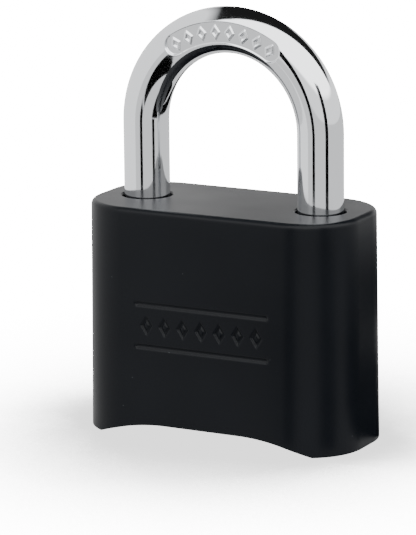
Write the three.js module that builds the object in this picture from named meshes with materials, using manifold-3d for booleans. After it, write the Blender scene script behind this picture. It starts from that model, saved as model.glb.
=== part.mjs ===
// A combination padlock with four dials in its underside and a round-rod shackle.
// Millimetres, +Z up. The origin is at the middle of the underside, on the plane that
// the two feet stand on; X runs along the width and the decorated face looks to -Y.

import * as THREE from 'three';
import { mergeVertices } from 'three/addons/utils/BufferGeometryUtils.js';
import ManifoldModule from 'manifold-3d';

const wasm = await ManifoldModule();
wasm.setup();

// ---- driving dimensions ------------------------------------------------------------

// shackle
const rodDiameter = 7.94;          // 5/16 in rod
const loopHeight = 25.9;           // clear height over the deck, closed
const toeDepth = 9.5;              // how far the toe leg reaches into the deck
const shackleLift = 11;            // travel from closed to open
const heelTail = 1.1;              // rod left under the groove of the heel leg
const heelNeckRadius = 2.9;        // core left by the groove of the heel leg
const springHoleRadius = 1.9;      // blind hole up the heel leg
const springHoleDepth = 14;
const panelWidth = 3.8;            // sunken panel on the front of the arch
const panelDepth = 0.5;
const panelHalfAngle = 32.5;       // degrees from the top of the arch to each cap centre

// case
const cornerRadius = 10;           // vertical corners, in plan
const topEdge = 0.9;               // rounding of the deck's rim
const draft = 0.4;                 // how much each side leans in from foot to deck
const sideWall = 1.9;              // front and rear walls
const endWall = 4.4;               // walls outside the legs
const deckThickness = 6;
const scoopRise = 2.55;            // height of the underside's arch over the feet
const scoopFlat = 14;              // level stretch in the middle of the arch
const footLength = 5.1;            // each foot, along X
const boreClearance = 0.38;        // rod to bore, on the radius
const postRadius = 2.3;            // cast posts that take the cover pins
const postInsetX = 2.6;            // post centre from the cavity's end
const postInsetY = 2.7;            // post centre from the cavity's side
const cavityCorner = 3;
const legRoom = 0.36;              // from a leg to the cavity's end
const toeBossWall = 1.55;          // round the toe bore, on the radius
const plateThickness = 1.95;       // base plate, over the level stretch
const pinRadius = 0.9;
const pinHeadRadius = 1.7;
const pinLength = 13;
const pinHeadThickness = 1.1;
const pinFoot = 1.3;               // height of the pins' heads over the feet

// decoration of the front: two grooves and a row of lozenges between them
const grooveHalfLength = 12.3;
const grooveRadius = 0.55;
const grooveHeights = [16.2, 23.6];
const lozengeCount = 7;
const lozengeWidth = 2.3;
const lozengeHeight = 3.6;
const lozengePitch = 3.5;
const decorDepth = 0.45;

// dials
const dialCount = 4;
const dialRadius = 8.9;
const dialWidth = 4;
const dialProud = 0.85;            // how far a rim stands out under the base plate
const digitCount = 10;
const notchDepth = 0.7;
const notchHalfAngle = 8;          // degrees
const splineLength = 0.7;          // engaged length of dial and hub
const toothHalfAngle = 7;          // degrees
const toothDepth = 0.95;           // hub teeth, over the barrel

// code hubs, spindle and change gear
const spindleRadius = 1.8;
const collarTooth = 0.4;           // collar teeth, past the hub's inner teeth
const barrelWall = 1.25;
const flangeThickness = 0.8;
const innerToothLength = 0.7;      // hub teeth that hold the code while it is changed
const changeShift = 1;             // travel of the hub column
const sliderLength = 2.17;
const springBoreDepth = 4;         // bore for the slider's spring, in the frame's block
const sliderRadius = 3.4;
const washerRadius = 4;
const camBase = 1.4;               // cam flat to cam axis
const camThickness = 3;
const camShaftRadius = 1.3;
const bearingLength = 3;           // frame round the cam's shaft
const clipThickness = 0.5;
const clipReach = 1.1;             // clip, outside its shaft

// fence and frame
const fenceThickness = 1.1;
const fingerHeight = 1.5;
const forkThickness = 1.2;
const forkOverDials = 2.2;
const blockWall = 1.4;             // frame left of the spring's bore
const spindleTail = 1.1;           // spindle left of the frame
const frameSheet = 1;              // front wall of the frame
const cheekThickness = 1.5;
const seatOverAxis = 5.8;          // top of the block that the shackle spring stands on
const springWire = 0.45;
const springSink = 1;              // depth of the shackle spring's seat in the block
const gap = 0.3;                   // between pieces that touch
const turnGap = 0.2;               // between a shaft and what turns on it
const runGap = 0.15;               // between pieces that run on each other
const stopGap = 0.1;               // left at the end of a travel, and where castings meet
const past = 1;                    // how far a cutter passes the surface that it cuts

// ---- derived places ----------------------------------------------------------------

const innerToothRadius = spindleRadius + turnGap;
const collarRadius = innerToothRadius + collarTooth;
const hubBore = collarRadius + turnGap;
const barrelRadius = hubBore + barrelWall;
const hubToothRadius = barrelRadius + toothDepth;
const splineTip = barrelRadius + gap;
const splineRoot = hubToothRadius + 0.35;
const flangeFlat = barrelRadius + 0.55;                // from the axis to the gate's flat
const springBoreRadius = collarRadius + 1.1;

const dialPitch = dialWidth + gap + flangeThickness + changeShift + gap;
const dialX = Array.from({ length: dialCount }, (_, k) => (k - (dialCount - 1) / 2) * dialPitch);
const flangeRight = -dialWidth / 2 - gap;              // from the dial's middle
const flangeLeft = flangeRight - flangeThickness;
const hubRight = dialPitch + flangeLeft - turnGap;
const frameLeft = dialX[0] + flangeLeft - changeShift - gap;
const frameRight = -frameLeft;
const springBoreEnd = frameLeft - springBoreDepth;
const blockLeft = springBoreEnd - blockWall;
const spindleLeft = blockLeft - spindleTail;
const sliderLeft = dialX[dialCount - 1] + hubRight + gap;
const spindleRight = sliderLeft + gap;
const sliderRight = sliderLeft + sliderLength;

const rodRadius = rodDiameter / 2;
const legX = sliderRight + stopGap + camBase;              // the cam turns right under the toe leg
const boreRadius = rodRadius + boreClearance;
const cavityHalfX = Math.max(legX + rodRadius + legRoom, gap - spindleLeft);
const combSpace = gap + fenceThickness + gap;
const cavityHalfY = dialRadius + combSpace;
const bodyWidth = 2 * (cavityHalfX + endWall);
const bodyDepth = 2 * (cavityHalfY + sideWall);
const axisZ = scoopRise - dialProud + dialRadius;
const plateTop = scoopRise + plateThickness;
const floorZ = plateTop + gap;
const dialTop = axisZ + dialRadius;
const forkBottom = dialTop + forkOverDials;
const forkTop = forkBottom + forkThickness;
const deckUnderside = forkTop + shackleLift + stopGap;
const bodyHeight = deckUnderside + deckThickness;
const heelBottom = forkBottom - gap - heelTail;
const toeBottom = bodyHeight - toeDepth;
const archZ = bodyHeight + loopHeight - (legX - rodRadius);
const postX = cavityHalfX - postInsetX;
const postY = cavityHalfY - postInsetY;
const postBottom = plateTop + stopGap;
const pinTop = pinFoot + pinLength;
const pinPlaces = [[-postX, -postY], [postX, -postY], [-postX, postY], [postX, postY]];
const scoopTip = bodyWidth / 2 - footLength;
const flangeRadius = axisZ - plateTop - gap;
const seatHeight = axisZ + seatOverAxis;
const rearPlateFront = dialRadius + gap + 0.05;
const fingerTip = flangeFlat + runGap;
const fingerTop = axisZ - Math.sqrt((flangeRadius + gap) ** 2 - fingerTip ** 2);
const fingerBottom = Math.max(fingerTop - fingerHeight, floorZ);
const camShaftBottom = plateTop - 1.2;
const camShaftTop = toeBottom - 2;
const bearingTop = dialTop;
const bearingBottom = bearingTop - bearingLength;
const camClipBottom = bearingTop + 0.4;

// ---- solids ------------------------------------------------------------------------

const radians = THREE.MathUtils.degToRad;

/** A closed three.js geometry as a solid that can be cut and joined. */
function solid(geometry) {
  const bare = geometry.clone();
  bare.deleteAttribute('normal');
  bare.deleteAttribute('uv');
  const merged = mergeVertices(bare, 1e-4);
  const vertProperties = new Float32Array(merged.attributes.position.array);
  const triVerts = new Uint32Array(merged.index.array);
  return new wasm.Manifold(new wasm.Mesh({ numProp: 3, vertProperties, triVerts }));
}

/** A solid as a three.js geometry again. */
function geometryOf(body) {
  const mesh = body.getMesh();
  const geometry = new THREE.BufferGeometry();
  geometry.setAttribute('position', new THREE.Float32BufferAttribute(mesh.vertProperties, 3));
  geometry.setIndex(Array.from(mesh.triVerts));
  geometry.computeVertexNormals();
  return geometry;
}

/** The first solid with all the others joined to it. */
function join(...bodies) {
  return bodies.reduce((whole, body) => whole.add(body));
}

/** The first solid with all the others cut from it. */
function cut(...bodies) {
  return bodies.reduce((whole, body) => whole.subtract(body));
}

function box(x0, x1, y0, y1, z0, z1) {
  const geometry = new THREE.BoxGeometry(x1 - x0, y1 - y0, z1 - z0);
  geometry.translate((x0 + x1) / 2, (y0 + y1) / 2, (z0 + z1) / 2);
  return solid(geometry);
}

/** An outline in plan, raised from z0 to z1. */
function extrudeZ(shape, z0, z1, curveSegments = 12) {
  const settings = { depth: z1 - z0, bevelEnabled: false, curveSegments };
  const geometry = new THREE.ExtrudeGeometry(shape, settings);
  geometry.translate(0, 0, z0);
  return geometry;
}

/** An outline given in (y, z) about the dial axis, carried from x0 to x1. */
function extrudeX(shape, x0, x1, curveSegments = 12) {
  const settings = { depth: x1 - x0, bevelEnabled: false, curveSegments };
  const geometry = new THREE.ExtrudeGeometry(shape, settings);
  const turn = new THREE.Matrix4().makeBasis(
    new THREE.Vector3(0, 1, 0), new THREE.Vector3(0, 0, 1), new THREE.Vector3(1, 0, 0));
  geometry.applyMatrix4(turn);
  geometry.translate(x0, 0, axisZ);
  return geometry;
}

/** An outline given in (x, z), carried from y1 back to y0. */
function extrudeY(shape, y0, y1, curveSegments = 12) {
  const settings = { depth: y1 - y0, bevelEnabled: false, curveSegments };
  const geometry = new THREE.ExtrudeGeometry(shape, settings);
  geometry.rotateX(Math.PI / 2);
  geometry.translate(0, y1, 0);
  return geometry;
}

function circle(radius, x = 0, y = 0) {
  return new THREE.Shape().absarc(x, y, radius, 0, 2 * Math.PI, false);
}

function ring(outer, inner) {
  const shape = circle(outer);
  shape.holes.push(circle(inner));
  return shape;
}

function postCylinder(radius, x, y, z0, z1, curveSegments = 12) {
  return solid(extrudeZ(circle(radius, x, y), z0, z1, curveSegments));
}

function roundedRectangle(halfX, halfY, radius) {
  const shape = new THREE.Shape();
  shape.absarc(halfX - radius, halfY - radius, radius, 0, Math.PI / 2, false);
  shape.absarc(-halfX + radius, halfY - radius, radius, Math.PI / 2, Math.PI, false);
  shape.absarc(-halfX + radius, -halfY + radius, radius, Math.PI, 1.5 * Math.PI, false);
  shape.absarc(halfX - radius, -halfY + radius, radius, 1.5 * Math.PI, 2 * Math.PI, false);
  shape.closePath();
  return shape;
}

/** A wheel outline with ten teeth between two radii, the first centred on `phase` degrees. */
function toothedOutline(Outline, rootRadius, tipRadius, phase) {
  const points = [];
  for (let tooth = 0; tooth < digitCount; tooth += 1) {
    const centre = radians(phase + tooth * 360 / digitCount);
    const half = radians(toothHalfAngle);
    for (const [angle, radius] of [
      [centre - half, rootRadius], [centre - half, tipRadius],
      [centre + half, tipRadius], [centre + half, rootRadius],
    ]) {
      points.push(new THREE.Vector2(radius * Math.cos(angle), radius * Math.sin(angle)));
    }
  }
  return new Outline(points);
}

/** A helix about +Z that climbs evenly from z0 to z1. */
class SpringLine extends THREE.Curve {
  constructor(radius, z0, z1, turns) {
    super();
    Object.assign(this, { radius, z0, z1, turns });
  }

  getPoint(t, target = new THREE.Vector3()) {
    const angle = 2 * Math.PI * this.turns * t;
    const z = this.z0 + (this.z1 - this.z0) * t;
    return target.set(this.radius * Math.cos(angle), this.radius * Math.sin(angle), z);
  }
}

function wireSpring(meanRadius, z0, z1, turns, wire) {
  const path = new SpringLine(meanRadius, z0 + wire / 2, z1 - wire / 2, turns);
  const section = circle(wire / 2);
  return new THREE.ExtrudeGeometry(section, {
    steps: turns * 9, extrudePath: path, bevelEnabled: false, curveSegments: 2,
  });
}

// ---- shackle -----------------------------------------------------------------------

/** Up the heel leg, over the arch and down the toe leg, at one speed. */
class ShackleLine extends THREE.Curve {
  getPoint(t, target = new THREE.Vector3()) {
    const heel = archZ - heelBottom;
    const arch = Math.PI * legX;
    const way = t * (heel + arch + archZ - toeBottom);
    if (way < heel) return target.set(-legX, 0, heelBottom + way);
    if (way > heel + arch) return target.set(legX, 0, archZ - (way - heel - arch));
    const angle = Math.PI - (way - heel) / legX;
    return target.set(legX * Math.cos(angle), 0, archZ + legX * Math.sin(angle));
  }
}

function panelShape() {
  const side = radians(90 - panelHalfAngle);
  const half = panelWidth / 2;
  const cap = (angle) => [legX * Math.cos(angle), archZ + legX * Math.sin(angle)];
  const shape = new THREE.Shape();
  shape.absarc(0, archZ, legX + half, side, Math.PI - side, false);
  shape.absarc(...cap(Math.PI - side), half, Math.PI - side, 2 * Math.PI - side, false);
  shape.absarc(0, archZ, legX - half, Math.PI - side, side, true);
  shape.absarc(...cap(side), half, side + Math.PI, side + 2 * Math.PI, false);
  return shape;
}

function makeShackle() {
  const rod = solid(new THREE.ExtrudeGeometry(circle(rodRadius), {
    steps: 48, extrudePath: new ShackleLine(), bevelEnabled: false, curveSegments: 9,
  }));
  const panel = solid(extrudeY(panelShape(), -rodRadius - past, -rodRadius + panelDepth, 4));
  const grooveRing = circle(rodRadius + past, -legX, 0);
  grooveRing.holes.push(circle(heelNeckRadius, -legX, 0));
  const groove = solid(extrudeZ(grooveRing, forkBottom - gap, forkTop + gap));
  const holeTop = heelBottom + springHoleDepth;
  const hole = postCylinder(springHoleRadius, -legX, 0, heelBottom - past, holeTop, 8);
  return geometryOf(cut(rod, panel, groove, hole));
}

// ---- case --------------------------------------------------------------------------

/** Leans the sides of an upright outline in, by `draft` at the deck. */
function leanIn(geometry) {
  const place = geometry.attributes.position;
  for (let i = 0; i < place.count; i += 1) {
    const share = draft * Math.max(place.getZ(i), 0) / bodyHeight;
    place.setX(i, place.getX(i) * (1 - share / (bodyWidth / 2)));
    place.setY(i, place.getY(i) * (1 - share / (bodyDepth / 2)));
  }
  return geometry;
}

/** The space under the case: a level middle with an arc down to each foot. */
function scoopShape(lowest) {
  const half = scoopFlat / 2;
  const run = scoopTip - half;
  const radius = (run ** 2 + scoopRise ** 2) / (2 * scoopRise);
  const end = Math.asin(run / radius);
  const shape = new THREE.Shape();
  shape.moveTo(-scoopTip, lowest);
  shape.lineTo(scoopTip, lowest);
  shape.absarc(half, scoopRise - radius, radius, Math.PI / 2 - end, Math.PI / 2, false);
  shape.absarc(-half, scoopRise - radius, radius, Math.PI / 2, Math.PI / 2 + end, false);
  shape.closePath();
  return shape;
}

function frontAt(z) {
  return -bodyDepth / 2 + draft * z / bodyHeight;
}

function lozenge(x, z) {
  const shape = new THREE.Shape();
  shape.moveTo(x - lozengeWidth / 2, z);
  shape.lineTo(x, z - lozengeHeight / 2);
  shape.lineTo(x + lozengeWidth / 2, z);
  shape.lineTo(x, z + lozengeHeight / 2);
  shape.closePath();
  return shape;
}

function makeBodyShell() {
  const outline = roundedRectangle(
    bodyWidth / 2 - topEdge, bodyDepth / 2 - topEdge, cornerRadius - topEdge);
  const block = new THREE.ExtrudeGeometry(outline, {
    depth: bodyHeight - topEdge + 2 * past,
    curveSegments: 6,
    bevelThickness: topEdge,
    bevelSize: topEdge,
    bevelSegments: 2,
  });
  block.translate(0, 0, -2 * past);
  const below = box(-bodyWidth, bodyWidth, -bodyDepth, bodyDepth, -6 * past, 0);
  const scoop = solid(extrudeY(scoopShape(-3 * past), -bodyDepth, bodyDepth, 6));

  const cavityPlan = roundedRectangle(cavityHalfX, cavityHalfY, cavityCorner);
  let cavity = solid(extrudeZ(cavityPlan, -past, deckUnderside, 4));
  for (const x of [-postX, postX]) {
    for (const y of [-postY, postY]) {
      const post = postCylinder(postRadius, x, y, postBottom, deckUnderside + past, 6);
      const corner = box(
        Math.min(x, 2 * x), Math.max(x, 2 * x), Math.min(y, 2 * y), Math.max(y, 2 * y),
        postBottom, deckUnderside + past);
      cavity = cut(cavity, post, corner);
    }
  }
  const bossBottom = toeBottom - 0.5;
  const bossRadius = boreRadius + toeBossWall;
  cavity = cut(cavity, postCylinder(bossRadius, legX, 0, bossBottom, deckUnderside + past, 8));

  let shell = cut(solid(leanIn(block)), below, scoop, cavity);
  for (const x of [-legX, legX]) {
    shell = cut(shell, postCylinder(boreRadius, x, 0, toeBottom - 2 * past, bodyHeight + past));
  }
  for (const [x, y] of pinPlaces) {
    shell = cut(shell, postCylinder(pinRadius + gap, x, y, plateTop - past, pinTop + gap, 6));
  }
  for (const z of grooveHeights) {
    const groove = new THREE.CapsuleGeometry(grooveRadius, 2 * grooveHalfLength, 2, 8);
    groove.rotateZ(Math.PI / 2);
    groove.translate(0, frontAt(z), z);
    shell = cut(shell, solid(groove));
  }
  const rowZ = (grooveHeights[0] + grooveHeights[1]) / 2;
  for (let i = 0; i < lozengeCount; i += 1) {
    const x = (i - (lozengeCount - 1) / 2) * lozengePitch;
    const mark = extrudeY(lozenge(x, rowZ), frontAt(rowZ) - 2 * past, frontAt(rowZ) + decorDepth);
    shell = cut(shell, solid(mark));
  }
  return geometryOf(shell);
}

// ---- base plate and its pins -------------------------------------------------------

function makeBasePlate() {
  const outline = roundedRectangle(cavityHalfX - gap, cavityHalfY - gap, cavityCorner - gap);
  let plate = solid(extrudeZ(outline, 0, plateTop, 4));
  plate = cut(plate, solid(extrudeY(scoopShape(-3 * past), -bodyDepth, bodyDepth, 6)));
  const lowChord = Math.sqrt(dialRadius ** 2 - (axisZ - plateTop) ** 2);
  for (const x of dialX) {
    const halfX = dialWidth / 2 + gap;
    const halfY = lowChord + 0.35;
    plate = cut(plate, box(x - halfX, x + halfX, -halfY, halfY, -past, plateTop + past));
  }
  const headTop = pinFoot + pinHeadThickness + gap;
  for (const [x, y] of pinPlaces) {
    plate = cut(plate, postCylinder(pinRadius + gap, x, y, -past, plateTop + past, 6));
    plate = cut(plate, postCylinder(pinHeadRadius + gap, x, y, -past, headTop, 6));
  }
  const blindBottom = camShaftBottom - gap;
  plate = cut(plate, postCylinder(camShaftRadius + gap, legX, 0, blindBottom, plateTop + past, 8));
  return geometryOf(plate);
}

function makeCoverPin() {
  const head = pinHeadRadius;
  const profile = [
    [0, 0], [head, 0], [head, pinHeadThickness], [pinRadius, pinHeadThickness],
    [pinRadius, pinLength - 0.5], [pinRadius - 0.4, pinLength], [0, pinLength],
  ].map(([r, z]) => new THREE.Vector2(r, z));
  const pin = new THREE.LatheGeometry(profile, 10);
  return geometryOf(solid(pin.rotateX(Math.PI / 2)));
}

// ---- dials and code hubs -----------------------------------------------------------

/** The rim: ten digit faces on a circle, with a V notch between each two. */
function dialOutline() {
  const points = [];
  const half = radians(notchHalfAngle);
  for (let digit = 0; digit < digitCount; digit += 1) {
    const notch = radians(90 + 180 / digitCount + digit * 360 / digitCount);
    const next = notch + radians(360 / digitCount);
    points.push([notch, dialRadius - notchDepth]);
    for (let i = 0; i <= 3; i += 1) {
      points.push([notch + half + (next - notch - 2 * half) * i / 3, dialRadius]);
    }
  }
  return new THREE.Shape(points.map(([a, r]) => new THREE.Vector2(r * Math.cos(a), r * Math.sin(a))));
}

function makeDial() {
  const rim = dialOutline();
  rim.holes.push(circle(splineRoot));
  const wheel = solid(extrudeX(rim, -dialWidth / 2, dialWidth / 2, 10));
  const spline = circle(splineRoot + 0.4);
  spline.holes.push(toothedOutline(THREE.Path, splineRoot, splineTip, 18));
  const splineRing = solid(extrudeX(spline, -dialWidth / 2, -dialWidth / 2 + splineLength, 10));
  return geometryOf(join(wheel, splineRing).translate(0, 0, -axisZ));
}

/** The flange is a disc with one flat: the gate that the fence rises past. */
function gateOutline() {
  const half = Math.acos(flangeFlat / flangeRadius);
  const shape = new THREE.Shape();
  shape.absarc(0, 0, flangeRadius, half, 2 * Math.PI - half, false);
  shape.closePath();
  return shape;
}

function makeCodeHub() {
  const flange = solid(extrudeX(gateOutline(), flangeLeft, flangeRight, 12));
  const barrel = solid(extrudeX(circle(barrelRadius), flangeLeft, hubRight, 10));
  const teethOutline = toothedOutline(THREE.Shape, barrelRadius - 0.3, hubToothRadius, 0);
  const toothEnd = -dialWidth / 2 + splineLength;
  const teeth = solid(extrudeX(teethOutline, flangeRight, toothEnd));
  const bore = solid(extrudeX(circle(hubBore), flangeLeft + innerToothLength, hubRight + past, 10));
  const innerTeeth = toothedOutline(THREE.Shape, hubBore, innerToothRadius, 18);
  const toothedBore = solid(
    extrudeX(innerTeeth, flangeLeft - past, flangeLeft + innerToothLength + stopGap));
  return geometryOf(cut(join(flange, barrel, teeth), bore, toothedBore).translate(0, 0, -axisZ));
}

// ---- spindle, washer, slider, cam and clips ----------------------------------------

function makeSpindle() {
  const parts = [solid(extrudeX(circle(spindleRadius), spindleLeft, spindleRight, 8))];
  const shoulder = extrudeX(circle(spindleRadius + 1.2), springBoreEnd + gap, springBoreEnd + 0.8, 10);
  parts.push(solid(shoulder));
  const collarTeeth = toothedOutline(THREE.Shape, spindleRadius, collarRadius, 0);
  for (const x of dialX) {
    const right = x + flangeLeft - gap;
    parts.push(solid(extrudeX(collarTeeth, right - innerToothLength, right)));
  }
  const grooveShape = ring(spindleRadius + past, spindleRadius - 0.5);
  const clipGroove = solid(extrudeX(grooveShape, spindleLeft + 0.2, spindleLeft + 0.9, 8));
  return geometryOf(cut(join(...parts), clipGroove));
}

/** An open ring that snaps into a groove. */
function clipShape(inner, outer) {
  const open = radians(35);
  const shape = new THREE.Shape();
  shape.absarc(0, 0, outer, open, 2 * Math.PI - open, false);
  shape.absarc(0, 0, inner, 2 * Math.PI - open, open, true);
  shape.closePath();
  return shape;
}

function makeSpindleClip() {
  const shape = clipShape(spindleRadius - 0.35, spindleRadius + clipReach);
  const left = spindleLeft + 0.3;
  return geometryOf(solid(extrudeX(shape, left, left + clipThickness, 8)));
}

function makeThrustWasher() {
  const right = dialX[0] + flangeLeft - turnGap;
  const left = right - 0.4;
  return geometryOf(solid(extrudeX(ring(washerRadius, collarRadius + gap), left, right, 12)));
}

function makeSliderSpring() {
  const left = springBoreEnd + 0.9;
  const right = dialX[0] + flangeLeft - 0.7;
  const spring = wireSpring(collarRadius + 0.55, left, right, 4, springWire);
  spring.rotateY(Math.PI / 2);
  spring.translate(0, 0, axisZ);
  return geometryOf(solid(spring));
}

function makeChangeSlider() {
  const sleeve = solid(extrudeX(circle(sliderRadius), sliderLeft, sliderRight, 12));
  const boreEnd = spindleRight + changeShift + runGap;
  const bore = solid(extrudeX(circle(spindleRadius + gap), sliderLeft - past, boreEnd, 8));
  return geometryOf(cut(sleeve, bore));
}

/**
 * The cam pushes a flat face, so its flank is the involute that moves the face evenly:
 * `changeShift` over a quarter turn, from the flat on -X to the flat on +Y.
 */
function camOutline() {
  const rise = changeShift / (Math.PI / 2);
  const points = [new THREE.Vector2(-camBase, -1)];
  const steps = 8;
  for (let i = 0; i <= steps; i += 1) {
    const turn = i / steps * Math.PI / 2;
    const reach = camBase + rise * turn;
    const angle = Math.PI - turn;
    points.push(new THREE.Vector2(
      reach * Math.cos(angle) + rise * Math.sin(angle),
      reach * Math.sin(angle) - rise * Math.cos(angle)));
  }
  const top = camBase + changeShift;
  points.push(new THREE.Vector2(1.2, top), new THREE.Vector2(1.7, 0.6));
  points.push(new THREE.Vector2(1.5, -1), new THREE.Vector2(0.6, -1.6), new THREE.Vector2(-0.8, -1.6));
  return new THREE.Shape(points.reverse());
}

function makeChangeCam() {
  const disc = solid(extrudeZ(camOutline(), axisZ - camThickness / 2, axisZ + camThickness / 2));
  const shaft = solid(extrudeZ(circle(camShaftRadius), camShaftBottom, camShaftTop, 8));
  const slot = box(-0.4, 0.4, -2, 2, camShaftTop - 1.2, camShaftTop + past);
  const grooveShape = ring(camShaftRadius + past, camShaftRadius - 0.4);
  const grooveBottom = camClipBottom - stopGap;
  const grooveTop = camClipBottom + clipThickness + stopGap;
  const groove = solid(extrudeZ(grooveShape, grooveBottom, grooveTop, 8));
  return geometryOf(cut(join(disc, shaft), slot, groove));
}

function makeCamClip() {
  const shape = clipShape(camShaftRadius - 0.25, camShaftRadius + clipReach);
  return geometryOf(solid(extrudeZ(shape, camClipBottom, camClipBottom + clipThickness, 8)));
}

// ---- frame, fence and detents ------------------------------------------------------

function makeDialFrame() {
  const frontY = -cavityHalfY + gap;
  const rearY = dialRadius - stopGap;
  const cheekTop = dialTop - 1;
  const wallTop = dialTop + 1.1;
  const leftOut = frameLeft - cheekThickness;
  const rightOut = frameRight + cheekThickness;
  const pieces = [
    box(leftOut, rightOut, frontY, frontY + frameSheet, floorZ, wallTop),
    box(leftOut, leftOut + 3, frontY, frontY + frameSheet, floorZ, deckUnderside - gap),
    box(rightOut - 3, rightOut, frontY, frontY + frameSheet, floorZ, deckUnderside - gap),
    box(leftOut, frameLeft, frontY, rearY, floorZ, cheekTop),
    box(frameRight, rightOut, frontY, rearY, floorZ, cheekTop),
    box(blockLeft, frameLeft, -5.2, 5.2, floorZ, seatHeight),
    box(frameRight, legX + 3.3, -3.4, 3.4, bearingBottom, bearingTop),
  ];
  const cuts = [
    solid(extrudeX(circle(washerRadius + gap), frameLeft - 0.6, frameLeft + past, 12)),
    solid(extrudeX(circle(springBoreRadius), springBoreEnd, frameLeft + past, 12)),
    solid(extrudeX(circle(spindleRadius + gap), blockLeft - past, springBoreEnd + past, 8)),
    solid(extrudeX(circle(sliderRadius + gap), frameRight - past, rightOut + past, 12)),
    postCylinder(springHoleRadius + 0.5, -legX, 0, seatHeight - springSink, cheekTop + past, 8),
    postCylinder(camShaftRadius + gap, legX, 0, floorZ - past, bearingTop + past, 8),
  ];
  return geometryOf(cut(join(...pieces), ...cuts));
}

/** A comb at the rear: a fork in the heel leg's groove and one finger behind each gate. */
function makeFencePlate() {
  const rear = rearPlateFront + fenceThickness;
  const forkLeft = -legX - 3.5;
  const forkRight = frameLeft + 2.2;
  const plateLeft = frameLeft - cheekThickness - turnGap;
  const neck = heelNeckRadius + turnGap;
  const prong = neck + 1.7;
  const fork = new THREE.Shape();
  fork.moveTo(forkLeft, -prong);
  fork.lineTo(forkRight, -prong);
  fork.lineTo(forkRight, rear);
  fork.lineTo(plateLeft, rear);
  fork.lineTo(plateLeft, prong);
  fork.lineTo(forkLeft, prong);
  fork.lineTo(forkLeft, neck);
  fork.absarc(-legX, 0, neck, Math.PI / 2, -Math.PI / 2, true);
  fork.lineTo(forkLeft, -neck);
  fork.closePath();
  const plateRight = dialX[dialCount - 1] + flangeRight;
  const pieces = [
    solid(extrudeZ(fork, forkBottom, forkTop, 6)),
    box(plateLeft, plateRight, rearPlateFront, rear, fingerBottom, forkTop),
  ];
  for (const x of dialX) {
    const right = x + flangeRight - runGap;
    pieces.push(box(x + flangeLeft, right, fingerTip, rear, fingerBottom, fingerTop));
  }
  return geometryOf(join(...pieces));
}

/** A leaf spring, clamped over the frame's front wall, with its nose in a dial's notch. */
function makeDetentSpring() {
  const thick = 0.3;
  const nose = radians(90 + 180 / digitCount);
  const reach = dialRadius - 0.2;
  const line = [
    [-cavityHalfY + 0.35, dialRadius + 1.5], [-5.2, dialRadius + 0.9],
    [reach * Math.cos(nose), reach * Math.sin(nose)],
    [-0.9, dialRadius + 0.9], [0.9, dialRadius + 1.3],
  ];
  const upper = line.map(([y, z]) => new THREE.Vector2(y, z + thick));
  const lower = line.map(([y, z]) => new THREE.Vector2(y, z));
  const shape = new THREE.Shape([...lower, ...upper.reverse()]);
  return geometryOf(solid(extrudeX(shape, -1.5, 1.5)));
}

// ---- assembly ----------------------------------------------------------------------

const finishes = {
  blackPaint: { color: 0x15181c, roughness: 0.42, metalness: 0.1 },
  chrome: { color: 0xd9dbde, roughness: 0.08, metalness: 1 },
  brass: { color: 0xb8954a, roughness: 0.32, metalness: 1 },
  zincCasting: { color: 0x8d9094, roughness: 0.5, metalness: 0.9 },
  springSteel: { color: 0x9fa3a6, roughness: 0.3, metalness: 1 },
  platedSteel: { color: 0xb2b5b6, roughness: 0.35, metalness: 1 },
};

const padlock = new THREE.Group();

function place(name, geometry, finish, x = 0, y = 0, z = 0) {
  const mesh = new THREE.Mesh(geometry, new THREE.MeshStandardMaterial(finishes[finish]));
  mesh.name = name;
  mesh.position.set(x, y, z);
  padlock.add(mesh);
}

place('body_shell', makeBodyShell(), 'blackPaint');
place('base_plate', makeBasePlate(), 'blackPaint');
pinPlaces.forEach(([x, y], i) => {
  place(`cover_pin_${i + 1}`, makeCoverPin(), 'platedSteel', x, y, pinFoot);
});
place('shackle', makeShackle(), 'chrome');
const springLength = heelBottom + springHoleDepth - seatHeight + springSink - 2 * stopGap;
const shackleSpring = wireSpring(springHoleRadius - 0.5, 0, springLength, 11, springWire);
place('shackle_spring', shackleSpring, 'springSteel', -legX, 0, seatHeight - springSink + stopGap);
place('fence_plate', makeFencePlate(), 'platedSteel');
place('dial_frame', makeDialFrame(), 'zincCasting');
place('spindle', makeSpindle(), 'platedSteel');
place('spindle_clip', makeSpindleClip(), 'springSteel');
dialX.forEach((x, i) => {
  place(`dial_${i + 1}`, makeDial(), 'brass', x, 0, axisZ);
  place(`code_hub_${i + 1}`, makeCodeHub(), 'brass', x, 0, axisZ);
  place(`detent_spring_${i + 1}`, makeDetentSpring(), 'springSteel', x);
});
place('thrust_washer', makeThrustWasher(), 'platedSteel');
place('slider_spring', makeSliderSpring(), 'springSteel');
place('change_slider', makeChangeSlider(), 'platedSteel');
place('change_cam', makeChangeCam(), 'platedSteel', legX);
place('cam_clip', makeCamClip(), 'springSteel', legX);

export default padlock;
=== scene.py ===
import math

import bmesh
import bpy
import numpy as np
from mathutils import Matrix, Vector
from mathutils.geometry import delaunay_2d_cdt


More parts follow.
